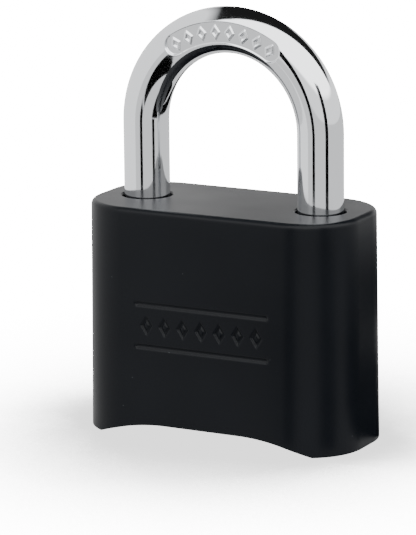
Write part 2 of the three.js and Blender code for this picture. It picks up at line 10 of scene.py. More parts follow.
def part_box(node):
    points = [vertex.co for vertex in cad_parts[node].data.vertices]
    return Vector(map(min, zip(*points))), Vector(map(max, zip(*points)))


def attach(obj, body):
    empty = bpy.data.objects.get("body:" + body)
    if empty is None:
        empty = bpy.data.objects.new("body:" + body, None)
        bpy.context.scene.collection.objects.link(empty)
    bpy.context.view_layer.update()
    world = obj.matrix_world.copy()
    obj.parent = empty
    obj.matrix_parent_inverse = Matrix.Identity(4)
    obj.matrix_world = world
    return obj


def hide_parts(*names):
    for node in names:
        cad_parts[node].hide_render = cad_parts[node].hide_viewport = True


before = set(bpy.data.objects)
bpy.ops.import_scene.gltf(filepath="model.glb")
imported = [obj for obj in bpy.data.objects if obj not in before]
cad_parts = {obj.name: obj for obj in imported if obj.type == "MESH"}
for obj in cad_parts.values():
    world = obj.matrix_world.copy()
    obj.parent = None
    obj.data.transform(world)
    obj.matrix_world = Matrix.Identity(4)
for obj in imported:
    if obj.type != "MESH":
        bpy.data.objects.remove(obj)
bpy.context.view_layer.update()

# Sizes in this file are millimetres, and MM turns them to the metres of the frame.
# X runs along the width, the decorated face looks to -Y, and Z is up.
MM = 0.001

# ---- case ----------------------------------------------------------------------------
# A zinc die casting with an arched underside and two feet, its sides leaning in a
# little towards the deck. The mould gives it two grooves and a row of lozenges on the
# front. It is sprayed with satin black paint, which the deck wears over brushed metal.

case_half_x, case_half_y, case_height = np.array(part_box("body_shell")[1]) / MM
CASE_CORNER = 10.0
CASE_RIM = 0.9
CASE_FOOT_EDGE = 0.12
CASE_DRAFT = 0.4
ARCH_RISE = 2.55
ARCH_LEVEL = 7.0
ARCH_RUN = 13.3
CAVITY_HALF_X = 21.2
CAVITY_HALF_Y = 10.6
CAVITY_CORNER = 3.0
CAVITY_TOP = 34.0
LEG_X = 16.67
BORE = 4.35
BORE_CHAMFER = 0.25
GROOVE_HALF = 12.3
GROOVE_Z = (16.2, 23.6)
GROOVE_DEPTH = 0.32
GROOVE_HALF_WIDTH = 0.62
LOZENGE_Z = 19.9
LOZENGE_HALF = (1.15, 1.8)
LOZENGE_PITCH = 3.5
LOZENGE_COUNT = 7
LOZENGE_DEPTH = 0.36
LOZENGE_MIDDLE = 0.24
FINE = 0.12
WELD = 0.002


def underside(x):
    """Height of the arched underside at x: level in the middle, then an arc that falls
    ARCH_RISE over ARCH_RUN to each foot, whose radius is (run^2 + rise^2) / (2 rise)."""
    radius = (ARCH_RUN**2 + ARCH_RISE**2) / (2 * ARCH_RISE)
    past = np.clip(np.abs(x) - ARCH_LEVEL, 0, ARCH_RUN)
    return ARCH_RISE - radius + np.sqrt(radius**2 - past**2)


def half_outline(half_x, half_y, corner, front_x, turns, sides, back_x):
    """The right half of a rounded rectangle in plan, from the middle of its front to the
    middle of its back: for each station, the point that the corner radius swings about,
    and the outward direction. Centre + direction * (corner - d) is the outline inset by d."""
    cx, cy = half_x - corner, half_y - corner
    front = np.column_stack([front_x, np.full(len(front_x), -cy)])
    side = np.column_stack([np.full(len(sides), cx), cy * sides])
    back = np.column_stack([back_x, np.full(len(back_x), cy)])
    low, high = turns - math.pi / 2, turns
    centres = [
        front, np.tile([cx, -cy], (len(turns), 1)), side, np.tile([cx, cy], (len(turns), 1)), back]
    turned = [
        np.tile([0.0, -1.0], (len(front), 1)), np.column_stack([np.cos(low), np.sin(low)]),
        np.tile([1.0, 0.0], (len(side), 1)), np.column_stack([np.cos(high), np.sin(high)]),
        np.tile([0.0, 1.0], (len(back), 1)),
    ]
    return np.vstack(centres), np.vstack(turned)


def both_halves(points):
    """A half outline followed by its mirror image in X, as one closed loop."""
    return np.vstack([points, points[-2:0:-1] * [-1, 1]])


def smooth_step(value, start, end):
    """0 up to start and 1 from end, with no corner in between: t^2 (3 - 2 t)."""
    t = np.clip((value - start) / (end - start), 0, 1)
    return t * t * (3 - 2 * t)


def lozenge_distance(x, z, half_x, half_z):
    """Distance of (x, z) outside a lozenge about the origin, less than 0 inside it."""
    across = np.abs(x) * half_z + np.abs(z) * half_x - half_x * half_z
    return across / math.hypot(half_x, half_z)


def front_relief(x, z):
    """Depth pressed into the front at (x, z): the deepest of two grooves, whose section
    is a round channel about a line, and seven lozenges with a raised middle."""
    depth = np.zeros_like(x)
    for height in GROOVE_Z:
        off = np.hypot(x - np.clip(x, -GROOVE_HALF, GROOVE_HALF), z - height)
        depth = np.maximum(depth, GROOVE_DEPTH * (1 - smooth_step(off, 0, GROOVE_HALF_WIDTH)))
    nearest = np.clip(np.round(x / LOZENGE_PITCH), -(LOZENGE_COUNT // 2), LOZENGE_COUNT // 2)
    off = lozenge_distance(x - nearest * LOZENGE_PITCH, z - LOZENGE_Z, *LOZENGE_HALF)
    sunk = LOZENGE_DEPTH * (1 - smooth_step(off, -0.3, 0.06))
    raised = LOZENGE_MIDDLE * (1 - smooth_step(off, -0.7, -0.4))
    return np.maximum(depth, sunk - raised)


def grid_quads(rows, columns):
    """Quads of a grid whose points are numbered row by row and whose rows close on
    themselves: each joins a point, the next one along, and the two in the row under."""
    index = np.arange(rows * columns).reshape(rows, columns)
    ahead = np.roll(index, -1, axis=1)
    return np.stack([index[:-1], ahead[:-1], ahead[1:], index[1:]], axis=-1).reshape(-1, 4)


def make_piece(name, patches, finish, sharp_degrees=None):
    """One object from patches of (points in mm, faces), its shared edges joined, its
    faces turned outwards and its shading smooth, or sharp past an angle."""
    mesh = bpy.data.meshes.new(name)
    starts = np.cumsum([0] + [len(points) for points, _ in patches])
    points = np.vstack([points for points, _ in patches]) * MM
    faces = []
    for start, (_, corners) in zip(starts, patches):
        faces += (np.asarray(corners) + start).tolist()
    mesh.from_pydata(points.tolist(), [], faces)
    work = bmesh.new()
    work.from_mesh(mesh)
    bmesh.ops.remove_doubles(work, verts=work.verts, dist=WELD * MM)
    bmesh.ops.dissolve_degenerate(work, edges=work.edges, dist=WELD / 2 * MM)
    bmesh.ops.recalc_face_normals(work, faces=work.faces)
    work.to_mesh(mesh)
    work.free()
    mesh.shade_smooth()
    if sharp_degrees:
        mesh.set_sharp_from_angle(angle=math.radians(sharp_degrees))
    piece = bpy.data.objects.new(name, mesh)
    bpy.context.scene.collection.objects.link(piece)
    mesh.materials.append(finish)
    return piece


def linear(colour):
    """An sRGB hex colour as the linear RGBA that a shader socket takes."""
    srgb = np.array([int(colour[i : i + 2], 16) for i in (1, 3, 5)]) / 255
    rgb = np.where(srgb <= 0.04045, srgb / 12.92, ((srgb + 0.055) / 1.055) ** 2.4)
    return (*rgb.tolist(), 1.0)


def add_node(tree, kind, settings, links):
    """A node of this kind. A setting is a socket's value or a property of the node, and
    a link gives the output that feeds a socket."""
    node = tree.nodes.new(kind)
    for name, value in settings.items():
        if isinstance(name, int) or name in node.inputs:
            node.inputs[name].default_value = value
        else:
            setattr(node, name, value)
    for name, output in links.items():
        tree.links.new(output, node.inputs[name])
    return node


def new_finish(name):
    """An empty node material: its tree, its Principled shader and its object coordinates."""
    finish = bpy.data.materials.new(name)
    finish.use_nodes = True
    tree = finish.node_tree
    tree.nodes.clear()
    shader = add_node(tree, "ShaderNodeBsdfPrincipled", {}, {})
    add_node(tree, "ShaderNodeOutputMaterial", {}, {"Surface": shader.outputs[0]})
    place = add_node(tree, "ShaderNodeTexCoord", {}, {}).outputs["Object"]
    return finish, tree, shader, place


# Satin black powder paint: a dielectric coat, so it is dark where it faces the eye and
# grey where it is seen aslant. The gun leaves a faint orange peel about 0.8 mm across,
# and dust shows as specks. Over the brushed deck, lines 0.15 mm apart run along X.
case_paint, tree, shader, place = new_finish("satin_black_powder_paint")
peel = add_node(tree, "ShaderNodeTexNoise", {"Scale": 1 / (0.8 * MM), "Detail": 3.0}, {"Vector": place})
cloud = add_node(tree, "ShaderNodeTexNoise", {"Scale": 1 / (14 * MM), "Detail": 2.0}, {"Vector": place})
stretched = add_node(
    tree, "ShaderNodeMapping", {"Scale": (1 / (9 * MM), 1 / (0.15 * MM), 0.0)}, {"Vector": place})
lines = add_node(
    tree, "ShaderNodeTexNoise", {"Scale": 1.0, "Detail": 4.0}, {"Vector": stretched.outputs[0]})
facing = add_node(tree, "ShaderNodeNewGeometry", {}, {})
upward = add_node(tree, "ShaderNodeSeparateXYZ", {}, {0: facing.outputs["Normal"]})
on_deck = add_node(
    tree, "ShaderNodeMapRange", {"From Min": 0.9, "From Max": 0.99}, {"Value": upward.outputs["Z"]})
deck_lines = add_node(
    tree, "ShaderNodeMath", {"operation": "MULTIPLY"}, {0: lines.outputs[0], 1: on_deck.outputs[0]})
height = add_node(
    tree, "ShaderNodeMath", {"operation": "MULTIPLY_ADD", 1: 3.0},
    {0: deck_lines.outputs[0], 2: peel.outputs[0]})
bump = add_node(
    tree, "ShaderNodeBump", {"Strength": 0.12, "Distance": 0.012 * MM}, {"Height": height.outputs[0]})
specks = add_node(tree, "ShaderNodeTexVoronoi", {"Scale": 1 / (3.2 * MM)}, {"Vector": place})
speck = add_node(
    tree, "ShaderNodeMapRange", {"From Min": 0.03, "From Max": 0.016},
    {"Value": specks.outputs["Distance"]})
tone = add_node(
    tree, "ShaderNodeMix",
    {"data_type": "RGBA", 6: linear("#04060a"), 7: linear("#080b10")}, {0: cloud.outputs[0]})
dusty = add_node(
    tree, "ShaderNodeMix", {"data_type": "RGBA", 7: linear("#3a3d40")},
    {0: speck.outputs[0], 6: tone.outputs[2]})
gloss = add_node(
    tree, "ShaderNodeMapRange", {"To Min": 0.3, "To Max": 0.4}, {"Value": cloud.outputs[0]})
tree.links.new(dusty.outputs[2], shader.inputs["Base Color"])
tree.links.new(gloss.outputs[0], shader.inputs["Roughness"])
tree.links.new(bump.outputs[0], shader.inputs["Normal"])
shader.inputs["IOR"].default_value = 1.25

# Stations round the case: FINE apart over the relief, and wider where it is plain.
case_front_x = np.concatenate([
    np.arange(111) * FINE, np.linspace(13.4, case_half_x - CASE_CORNER, 8)[:-1]])
case_turns = np.radians(np.linspace(0, 90, 46))
case_sides = np.linspace(-1, 1, 8)[1:-1]
case_back_x = np.linspace(case_half_x - CASE_CORNER, 0, 22)[1:]
swing, outward = half_outline(
    case_half_x, case_half_y, CASE_CORNER, case_front_x, case_turns, case_sides, case_back_x)
half_columns = len(swing)
swing, outward = both_halves(swing), both_halves(outward)

# Cavity stations that answer to the case's: the same ones in the straights, and in each
# corner a straight, a turn and a straight, shared out by length.
cavity_legs = np.array([
    CAVITY_HALF_X - CAVITY_CORNER - (case_half_x - CASE_CORNER), CAVITY_CORNER * math.pi / 2,
    CAVITY_HALF_Y - CAVITY_CORNER - (case_half_y - CASE_CORNER)])
way = np.linspace(0, cavity_legs.sum(), len(case_turns))
turn = np.clip((way - cavity_legs[0]) / CAVITY_CORNER, 0, math.pi / 2)
corner_x = case_half_x - CASE_CORNER + np.minimum(way, cavity_legs[0]) + CAVITY_CORNER * np.sin(turn)
corner_y = CAVITY_HALF_Y - CAVITY_CORNER * (1 - np.cos(turn)) - np.maximum(way - cavity_legs[:2].sum(), 0)
cavity = np.vstack([
    np.column_stack([case_front_x, np.full(len(case_front_x), -CAVITY_HALF_Y)]),
    np.column_stack([corner_x, -corner_y]),
    np.column_stack([np.full(len(case_sides), CAVITY_HALF_X), case_sides * (case_half_y - CASE_CORNER)]),
    np.column_stack([corner_x, corner_y])[::-1],
    np.column_stack([case_back_x, np.full(len(case_back_x), CAVITY_HALF_Y)])])
cavity = both_halves(cavity)

# The wall's section from the deck's rim down the outside, round the foot and up the
# cavity. Each row is an inset and a height over the floor, or over the underside.
rim = np.radians(np.linspace(0, 90, 9))
wall_insets = CASE_DRAFT + CASE_RIM * (1 - np.sin(rim))
wall_heights = case_height - CASE_RIM * (1 - np.cos(rim))
levels = np.concatenate([
    [case_height - CASE_RIM - 0.12, 36, 31, 27.5, 25.5], np.arange(24.6, 15.2, -FINE),
    [14.2, 12, 9, 6.5, 4.6]])
wall_insets = np.concatenate([wall_insets, CASE_DRAFT * levels / case_height])
wall_heights = np.concatenate([wall_heights, levels])
outer = swing[None] + outward[None] * (CASE_CORNER - wall_insets)[:, None, None]
heights = np.broadcast_to(wall_heights[:, None], outer.shape[:2])
pressed = (outward[:, 1] < -0.999)[None] * front_relief(outer[..., 0], heights)
wall = np.dstack([outer - outward[None] * pressed[..., None], heights])
foot = np.radians(np.linspace(0, 90, 6))
foot_insets = np.concatenate([[0], CASE_FOOT_EDGE * (1 - np.cos(foot)), [CASE_FOOT_EDGE + 0.06]])
foot_rise = np.concatenate([[CASE_FOOT_EDGE + 0.1], CASE_FOOT_EDGE * (1 - np.sin(foot)), [0]])
edge = swing[None] + outward[None] * (CASE_CORNER - foot_insets)[:, None, None]
edge = np.dstack([edge, underside(edge[..., 0]) + foot_rise[:, None]])
cavity_rise = np.array([0, 0.1, 8, CAVITY_TOP])
inner = np.broadcast_to(cavity[None], (len(cavity_rise), *cavity.shape))
inner_z = np.minimum(underside(inner[..., 0]) + cavity_rise[:, None], CAVITY_TOP)
loops = np.concatenate([wall, edge, np.dstack([inner, inner_z])])
wall_patch = (loops.reshape(-1, 3), grid_quads(*loops.shape[:2]))


def deck_patch(side):
    """Deck, bore and roof of one half: rays from the bore's circle to the half outline,
    closed along the line x = 0."""
    line = np.linspace(1, -1, 26)[1:-1, None] * [0.0, 1.0]
    pick = np.arange(half_columns)
    rim_loop = np.vstack([loops[0, pick, :2], line * -loops[0, 0, 1]]) * [side, 1]
    roof_loop = np.vstack([cavity[pick], line * CAVITY_HALF_Y]) * [side, 1]
    centre = np.array([side * LEG_X, 0.0])
    ray = rim_loop - centre
    ray /= np.linalg.norm(ray, axis=1)[:, None]
    mouth = centre + ray * (BORE + BORE_CHAMFER)
    deck_rows = [rim_loop + (mouth - rim_loop) * share for share in (0, 0.012, 0.3, 0.65)]
    deck_rows += [centre + ray * radius for radius in (BORE + BORE_CHAMFER + 0.08, BORE + BORE_CHAMFER)]
    rows = [np.column_stack([row, np.full(len(row), case_height)]) for row in deck_rows]
    for drop in (BORE_CHAMFER, BORE_CHAMFER + 0.08, 3.0, case_height - CAVITY_TOP):
        rows.append(np.column_stack([centre + ray * BORE, np.full(len(ray), case_height - drop)]))
    for share in (0.5, 1.0):
        row = centre + ray * BORE + (roof_loop - centre - ray * BORE) * share
        rows.append(np.column_stack([row, np.full(len(row), CAVITY_TOP)]))
    rows = np.array(rows)
    return rows.reshape(-1, 3), grid_quads(*rows.shape[:2])


case = make_piece("case", [wall_patch, deck_patch(1), deck_patch(-1)], case_paint)
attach(case, "case")
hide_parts("body_shell")

# ---- shackle -------------------------------------------------------------------------
# A 5/16 in round bar of hardened steel, bent to a loop, polished and chrome plated. The
# long heel leg has a groove for the fence and a hole for its spring. On the arch a
# panel is pressed flat, with a row of raised lozenges.

ROD = 3.97
ARCH_Z = 53.12
HEEL_BOTTOM = 20.3
TOE_BOTTOM = 30.5
END_CHAMFER = 0.6
NECK = 2.9
NECK_Z = (21.4, 23.2)
SPRING_HOLE = 1.9
SPRING_HOLE_DEPTH = 14.0
PANEL_HALF = 1.9
PANEL_FLOOR = 3.3
PANEL_HALF_ANGLE = math.radians(32.5)
PANEL_REACH = math.radians(41)
MARKS = 8
MARK_HALF = (0.88, 1.3)
MARK_PROUD = 0.3

heel_length = ARCH_Z - HEEL_BOTTOM
arch_length = math.pi * LEG_X
rod_length = heel_length + arch_length + ARCH_Z - TOE_BOTTOM


def along_shackle(way):
    """The bar's centre line and its outward direction at each distance along it: up the
    heel leg, round a half circle of radius LEG_X, and down the toe leg."""
    angle = np.clip(math.pi - (way - heel_length) / LEG_X, 0, math.pi)
    z = ARCH_Z + LEG_X * np.sin(angle)
    z = z - np.maximum(heel_length - way, 0) - np.maximum(way - heel_length - arch_length, 0)
    line = np.column_stack([LEG_X * np.cos(angle), np.zeros_like(way), z])
    return line, np.column_stack([np.cos(angle), np.zeros_like(way), np.sin(angle)])


def bar(rows, spokes):
    """Points of rows of (distance along the shackle, radius), each a ring of spokes whose
    angle 0 looks to -Y and 90 degrees away from the loop's middle."""
    line, away = along_shackle(rows[:, 0])
    ring = away[:, None] * np.sin(spokes)[None, :, None] + [0.0, -1.0, 0.0] * np.cos(spokes)[None, :, None]
    return line[:, None] + ring * rows[:, 1][:, None, None]


def press_panel(points):
    """The arch's flat panel: inside a racetrack about the bar's centre line, the front
    of the bar is moved back to PANEL_FLOOR, and lozenge outlines stand up from it."""
    x, z = points[..., 0], points[..., 2] - ARCH_Z
    angle = np.arctan2(x, z)
    held = np.clip(angle, -PANEL_HALF_ANGLE, PANEL_HALF_ANGLE)
    off = np.hypot(x - LEG_X * np.sin(held), z - LEG_X * np.cos(held)) - PANEL_HALF
    inside = (1 - smooth_step(off, -0.16, 0.0)) * (points[..., 1] < -PANEL_FLOOR + 0.1)
    pitch = 2 * PANEL_HALF_ANGLE / (MARKS - 1) * 0.985
    slot = np.clip(np.round(angle / pitch - 0.5), -MARKS // 2, MARKS // 2 - 1) + 0.5
    mark = lozenge_distance((angle - slot * pitch) * LEG_X, np.hypot(x, z) - LEG_X, *MARK_HALF)
    raised = MARK_PROUD * (1 - smooth_step(np.abs(mark + 0.2), 0.1, 0.24))
    pressed = np.where(points[..., 1] < -PANEL_FLOOR, -PANEL_FLOOR - raised, points[..., 1])
    points[..., 1] += (pressed - points[..., 1]) * inside
    return points


# The spokes stand close together at the front, where the panel is.
spokes = np.radians(np.concatenate([np.arange(-36, 36, 1.2), np.arange(36, 324, 5)]))
panel_start = heel_length + (math.pi / 2 - PANEL_REACH) * LEG_X
panel_end = heel_length + (math.pi / 2 + PANEL_REACH) * LEG_X
neck_start, neck_end = (z - HEEL_BOTTOM for z in NECK_Z)
heel_rows = [
    (SPRING_HOLE_DEPTH, 0), (SPRING_HOLE_DEPTH, SPRING_HOLE - 0.05),
    (SPRING_HOLE_DEPTH - 0.1, SPRING_HOLE),
    (0.3, SPRING_HOLE), (0, SPRING_HOLE + 0.3), (0, ROD - END_CHAMFER), (END_CHAMFER * 0.9, ROD - 0.02),
    (neck_start - 0.1, ROD), (neck_start, ROD - 0.1), (neck_start, NECK + 0.1), (neck_start + 0.1, NECK),
    (neck_end - 0.1, NECK), (neck_end, NECK + 0.1), (neck_end, ROD - 0.1), (neck_end + 0.1, ROD),
    (8, ROD), (14, ROD), (20, ROD), (26, ROD), (heel_length - 0.5, ROD)]
arch_ways = np.concatenate([
    np.linspace(heel_length, panel_start, 22)[:-1], np.arange(panel_start, panel_end, 0.1),
    np.linspace(panel_end, heel_length + arch_length, 22)])
toe_rows = [(rod_length - z, ROD) for z in (21, 16, 11, 6, END_CHAMFER + 0.1)]
toe_rows += [(rod_length - END_CHAMFER, ROD - 0.03), (rod_length - 0.05, ROD - END_CHAMFER),
             (rod_length, ROD - END_CHAMFER - 0.1), (rod_length, 0)]
rows = np.vstack([heel_rows, np.column_stack([arch_ways, np.full(len(arch_ways), ROD)]), toe_rows])
rod_points = press_panel(bar(rows, spokes))

# Bright chrome over polished steel: a near mirror with a cool tone, a few hairlines
# left by the polishing belt about 0.3 mm apart, and a soft cloudiness where it is handled.
chrome, tree, shader, place = new_finish("polished_chrome_plate")
hair = add_node(
    tree, "ShaderNodeMapping",
    {"Scale": (1 / (0.3 * MM), 1 / (0.3 * MM), 1 / (9 * MM))}, {"Vector": place})
hairlines = add_node(
    tree, "ShaderNodeTexNoise", {"Scale": 1.0, "Detail": 5.0}, {"Vector": hair.outputs[0]})
hazy = add_node(tree, "ShaderNodeTexNoise", {"Scale": 1 / (6 * MM), "Detail": 4.0}, {"Vector": place})
haze = add_node(
    tree, "ShaderNodeMapRange", {"From Min": 0.35, "From Max": 0.75, "To Min": 0.05, "To Max": 0.11},
    {"Value": hazy.outputs[0]})
bump = add_node(
    tree, "ShaderNodeBump", {"Strength": 0.05, "Distance": 0.01 * MM}, {"Height": hairlines.outputs[0]})
tree.links.new(haze.outputs[0], shader.inputs["Roughness"])
tree.links.new(bump.outputs[0], shader.inputs["Normal"])
shader.inputs["Base Color"].default_value = linear("#e3e5e8")
shader.inputs["Metallic"].default_value = 1.0

shackle = make_piece(
    "shackle_bar", [(rod_points.reshape(-1, 3), grid_quads(*rod_points.shape[:2]))], chrome)
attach(shackle, "shackle_body")
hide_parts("shackle")

# ---- base plate ----------------------------------------------------------------------
# A casting let into the underside, level with its arch and painted like the case. It
# has a window for each dial and a counterbore for each of the four pins.

PLATE_HALF_X = 20.7
PLATE_HALF_Y = 10.3
PLATE_CORNER = 2.7
PLATE_TOP = 4.5
DIAL_X = (-9.6, -3.2, 3.2, 9.6)
WINDOW_HALF = (2.3, 6.83)
WINDOW_CORNER = 0.5
PIN_PLACES = [(x, y) for y in (-7.9, 7.9) for x in (-18.4, 18.4)]
COUNTERBORE = 2.0
COUNTERBORE_TOP = 2.7
PIN_HOLE = 1.2
CAM_HOLE = 1.6
CAM_HOLE_DEPTH = 1.5
EDGE = 0.2
PIN_EDGE = 0.15


def rounded_loop(half_x, half_y, corner, x=0.0, steps=8, pieces=1):
    """A rounded rectangle in plan about (x, 0), as one loop of points. Each straight is
    cut into pieces, so that it can follow the arch."""
    angle = np.radians(np.linspace(0, 90, steps)[None] + np.arange(0, 360, 90)[:, None])
    sign = np.array([[1, 1], [-1, 1], [-1, -1], [1, -1]])[:, None]
    middle = sign * [half_x - corner, half_y - corner]
    corners = middle + corner * np.stack([np.cos(angle), np.sin(angle)], axis=-1)
    share = np.arange(1, pieces)[:, None] / pieces
    loop = []
    for here, following in zip(corners, np.roll(corners, -1, axis=0)):
        loop += [here, here[-1] + (following[0] - here[-1]) * share]
    return np.vstack(loop) + [x, 0.0]


def circle_loop(radius, x, y, steps=40):
    """A circle in plan about (x, y), as one loop of points."""
    angle = np.arange(steps) / steps * 2 * math.pi
    return np.column_stack([x + radius * np.cos(angle), y + radius * np.sin(angle)])


def within(points, loop):
    """Which points lie inside a loop: those whose line to the right crosses it an odd
    number of times."""
    a, b = loop[None], np.roll(loop, -1, axis=0)[None]
    p = points[:, None]
    spans = (a[..., 1] > p[..., 1]) != (b[..., 1] > p[..., 1])
    rise = np.where(b[..., 1] == a[..., 1], 1.0, b[..., 1] - a[..., 1])
    crossing = a[..., 0] + (p[..., 1] - a[..., 1]) * (b[..., 0] - a[..., 0]) / rise
    return (spans & (p[..., 0] < crossing)).sum(axis=1) % 2 == 1


def face_with_holes(outer_loop, holes, spacing=1.0):
    """Triangles that fill a loop but not its holes, with a net of points inside it so
    that the face can be bent."""
    all_loops = [outer_loop, *holes]
    points = np.vstack(all_loops)
    starts = np.cumsum([0] + [len(loop) for loop in all_loops])
    edges = [
        (int(start + i), int(start + (i + 1) % len(loop)))
        for start, loop in zip(starts, all_loops) for i in range(len(loop))]
    low, high = outer_loop.min(axis=0), outer_loop.max(axis=0)
    across, along = (np.arange(low[k] + 0.6, high[k] - 0.5, spacing) for k in (0, 1))
    net = np.stack(np.meshgrid(across, along), axis=-1).reshape(-1, 2)
    gap_to_edge = np.linalg.norm(net[:, None] - points[None], axis=2).min(axis=1)
    keep = within(net, outer_loop) & (gap_to_edge > 0.35)
    for hole in holes:
        keep &= ~within(net, hole)
    points = np.vstack([points, net[keep]])
    made = delaunay_2d_cdt([Vector(p) for p in points.tolist()], edges, [], 0, 1e-5)
    spots, triangles = np.array([tuple(v) for v in made[0]]), np.array(made[2])
    middle = spots[triangles].mean(axis=1)
    keep = within(middle, outer_loop)
    for hole in holes:
        keep &= ~within(middle, hole)
    return spots, triangles[keep]


def band(*rings):
    """The surface between closed rings of as many points each."""
    rings = np.array(rings)
    return rings.reshape(-1, 3), grid_quads(*rings.shape[:2])


def lift(loop, height):
    """A plan's points at one height."""
    return np.column_stack([loop, np.full(len(loop), height)])


def over_arch(loop, rise):
    """A plan's points, so far over the arched underside."""
    return np.column_stack([loop, underside(loop[:, 0]) + rise])


def plate_loops(grow):
    """The plate's outline and windows, eased back by grow from their edges."""
    outline = rounded_loop(
        PLATE_HALF_X - grow, PLATE_HALF_Y - grow, PLATE_CORNER - grow, steps=14, pieces=48)
    half_x, half_y = WINDOW_HALF[0] + grow, WINDOW_HALF[1] + grow
    windows = [rounded_loop(half_x, half_y, WINDOW_CORNER + grow, x, pieces=6) for x in DIAL_X]
    return [outline, *windows]


low_loops, wall_loops = plate_loops(EDGE), plate_loops(0.0)
bore_loops = [circle_loop(COUNTERBORE + PIN_EDGE, x, y) for x, y in PIN_PLACES]
spots, triangles = face_with_holes(low_loops[0], low_loops[1:] + bore_loops)
patches = [(over_arch(spots, 0.0), triangles)]
hole_loops = [circle_loop(PIN_HOLE, x, y) for x, y in PIN_PLACES]
spots, triangles = face_with_holes(
    wall_loops[0], wall_loops[1:] + hole_loops + [circle_loop(CAM_HOLE, LEG_X, 0)], 4.0)
patches.append((lift(spots, PLATE_TOP), triangles))
for low, high in zip(low_loops, wall_loops):
    patches.append(band(over_arch(low, 0.0), over_arch(high, EDGE), lift(high, PLATE_TOP)))
for (x, y), mouth, hole in zip(PIN_PLACES, bore_loops, hole_loops):
    wide = circle_loop(COUNTERBORE, x, y)
    patches.append(band(
        over_arch(mouth, 0.0), over_arch(wide, PIN_EDGE), lift(wide, COUNTERBORE_TOP),
        lift(hole, COUNTERBORE_TOP), lift(hole, PLATE_TOP)))
blind = circle_loop(CAM_HOLE, LEG_X, 0)
blind_end = circle_loop(0.0, LEG_X, 0)
blind_top = PLATE_TOP - CAM_HOLE_DEPTH
patches.append(band(lift(blind, PLATE_TOP), lift(blind, blind_top), lift(blind_end, blind_top)))
plate = make_piece("base_plate_casting", patches, case_paint, sharp_degrees=30)
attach(plate, "case")
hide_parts("base_plate")

# ---- cover pins ----------------------------------------------------------------------
# Drive pins of zinc-plated steel, hammered up into the case's posts to hold the plate
# for good. Their heads are slightly domed and sit in the counterbores.

PIN_FOOT = 1.3
PIN_LENGTH = 13.0
PIN_HEAD = 1.7
PIN_HEAD_TOP = 1.1
PIN_SHANK = 0.9


def turned(profile, columns=48):
    """A lathe shape: a profile of (radius, height) carried round the Z axis."""
    angle = np.arange(columns) / columns * 2 * math.pi
    radius, height = np.asarray(profile, float).T[..., None]
    x, y = radius * np.cos(angle), radius * np.sin(angle)
    rows = np.stack([x, y, np.broadcast_to(height, x.shape)], axis=-1)
    return rows.reshape(-1, 3), grid_quads(len(profile), columns)


# Bright zinc plate: a grey metal with a faint cold and warm mottle a few mm wide, dull
# beside chrome, over the fine marks of the wire or strip that it was made from.
zinc_plate, tree, shader, place = new_finish("zinc_plated_steel")
mottle = add_node(
    tree, "ShaderNodeTexNoise", {"Scale": 1 / (2.5 * MM), "Detail": 3.0}, {"Vector": place})
tint = add_node(
    tree, "ShaderNodeMix", {"data_type": "RGBA", 6: linear("#a9b0b6"), 7: linear("#c3c0b6")},
    {0: mottle.outputs[0]})
dull = add_node(
    tree, "ShaderNodeMapRange", {"To Min": 0.26, "To Max": 0.44}, {"Value": mottle.outputs[0]})
grain = add_node(
    tree, "ShaderNodeTexNoise", {"Scale": 1 / (0.25 * MM), "Detail": 4.0}, {"Vector": place})
bump = add_node(
    tree, "ShaderNodeBump", {"Strength": 0.2, "Distance": 0.01 * MM}, {"Height": grain.outputs[0]})
tree.links.new(tint.outputs[2], shader.inputs["Base Color"])
tree.links.new(dull.outputs[0], shader.inputs["Roughness"])
tree.links.new(bump.outputs[0], shader.inputs["Normal"])
shader.inputs["Metallic"].default_value = 1.0

# The profile runs up the domed head, then in to the shank and up to its rounded end.
pin_profile = [
    (0, 0.02), (0.5, 0.03), (1.0, 0.09), (1.4, 0.2), (1.62, 0.34), (PIN_HEAD, 0.5),
    (PIN_HEAD, PIN_HEAD_TOP - 0.08), (PIN_HEAD - 0.08, PIN_HEAD_TOP), (PIN_SHANK + 0.08, PIN_HEAD_TOP),
    (PIN_SHANK, PIN_HEAD_TOP + 0.1), (PIN_SHANK, PIN_LENGTH - 0.6), (0.5, PIN_LENGTH - 0.03),
    (0, PIN_LENGTH)]
for number, (x, y) in enumerate(PIN_PLACES, 1):
    points, quads = turned(pin_profile)
    placed = points + [x, y, PIN_FOOT]
    pin = make_piece(f"drive_pin_{number}", [(placed, quads)], zinc_plate, sharp_degrees=40)
    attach(pin, "case")
    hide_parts(f"cover_pin_{number}")

# ---- dials ---------------------------------------------------------------------------
# Four brass wheels that show their rims through the plate's windows. Each is turned,
# milled with ten notches for the detent spring, broached with ten splines for its hub,
# and stamped with the digits 0 to 9, which are filled with black paint.

AXIS_Z = 10.6
DIAL_RADIUS = 8.9
DIAL_HALF = 2.0
DIAL_EDGE = 0.28
NOTCH_DEPTH = 0.7
NOTCH_HALF_ANGLE = 8
SPLINE_ROOT = 5.15
SPLINE_TIP = 4.15
SPLINE_LENGTH = 0.7
TOOTH_HALF_ANGLE = 7
DISH = (6.2, 7.5)
DISH_DEPTH = 0.2
BORE_EASE = 0.15
DIGIT_HEIGHT = 2.5
DIGIT_THICKNESS = 0.12
DIGIT_PROUD = 0.02
CAP_SHARE = 0.72


